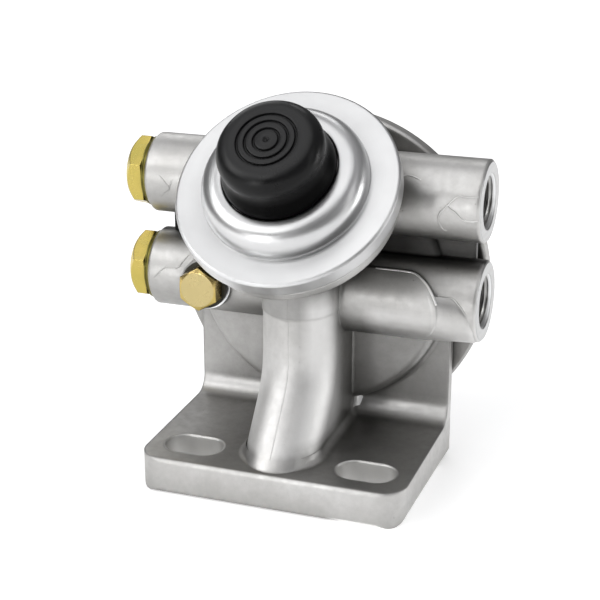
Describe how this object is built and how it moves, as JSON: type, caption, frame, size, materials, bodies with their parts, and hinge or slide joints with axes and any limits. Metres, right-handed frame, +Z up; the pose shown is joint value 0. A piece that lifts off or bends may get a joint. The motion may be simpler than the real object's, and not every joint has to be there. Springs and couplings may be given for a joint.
{
  "type": "fuel filter head",
  "caption": "Cast fuel filter head with a tilted hand primer pump, crossing port tubes, a threaded filter spigot, check valves and a slotted foot.",
  "frame": {"origin": "on the underside of the foot, at the middle of its rear edge, in the plane of the back plate's rear face", "axes": "+X along the port tubes towards the two open ports, -Y towards the pump side, +Y towards the filter, +Z up"},
  "size_m": [0.1227, 0.1044, 0.1297],
  "materials": {
    "cast_aluminium": "satin, as cast",
    "machined_aluminium": "fine turned",
    "turned_aluminium": "bright turned",
    "black_rubber": "matt",
    "bright_steel": "satin",
    "spring_steel": "drawn wire",
    "yellow_zinc": "yellow chromate over zinc",
    "olive_washer": "olive chromate, satin",
    "dark_washer": "matt",
    "brass": "bright",
    "black_plastic": "matt"
  },
  "bodies": {
    "head": {"head_casting": "cast_aluminium", "pump_cover": "machined_aluminium", "rod_seal": "black_rubber", "return_spring": "spring_steel", "diaphragm": "black_rubber", "plug_upper": "yellow_zinc", "plug_washer_upper": "olive_washer", "plug_lower": "yellow_zinc", "plug_washer_lower": "olive_washer", "filter_spigot": "turned_aluminium", "spigot_seal": "black_rubber", "valve_plate": "bright_steel", "valve_membrane": "black_rubber", "valve_rivet": "brass", "outlet_valve_housing": "black_plastic", "outlet_valve_spring": "spring_steel"},
    "plunger": {"push_cap": "black_rubber", "plunger_rod": "bright_steel", "diaphragm_plate_upper": "bright_steel", "diaphragm_plate_lower": "bright_steel", "rod_nut": "bright_steel"},
    "vent_seal": {"vent_washer": "dark_washer"},
    "vent": {"vent_screw": "yellow_zinc"},
    "outlet_disc": {"outlet_valve_disc": "black_rubber"}
  },
  "joints": [
    {"name": "cap_push", "type": "slide", "parent": "head", "child": "plunger", "axis": [0, 0.682, -0.7314], "range_m": [0, 0.007], "stiffness_N_per_m": 1500, "springref_m": -0.004, "deforming": ["return_spring", "diaphragm"]},
    {"name": "vent_lift", "type": "slide", "parent": "head", "child": "vent_seal", "axis": [0, -1, 0], "range_m": [0, 0.002]},
    {"name": "vent_turn", "type": "hinge", "parent": "vent_seal", "child": "vent", "pos_m": [-0.035, -0.0247, 0.0605], "axis": [0, -1, 0], "range_deg": [0, 721]},
    {"name": "outlet_valve_lift", "type": "slide", "parent": "head", "child": "outlet_disc", "axis": [0, 1, 0], "range_m": [0, 0.0012], "stiffness_N_per_m": 60, "springref_m": -0.002, "deforming": ["outlet_valve_spring"]}
  ],
  "couplings": [
    {"joint": "vent_turn", "follows": "vent_lift", "rad_per_m": 6283.2}
  ]
}
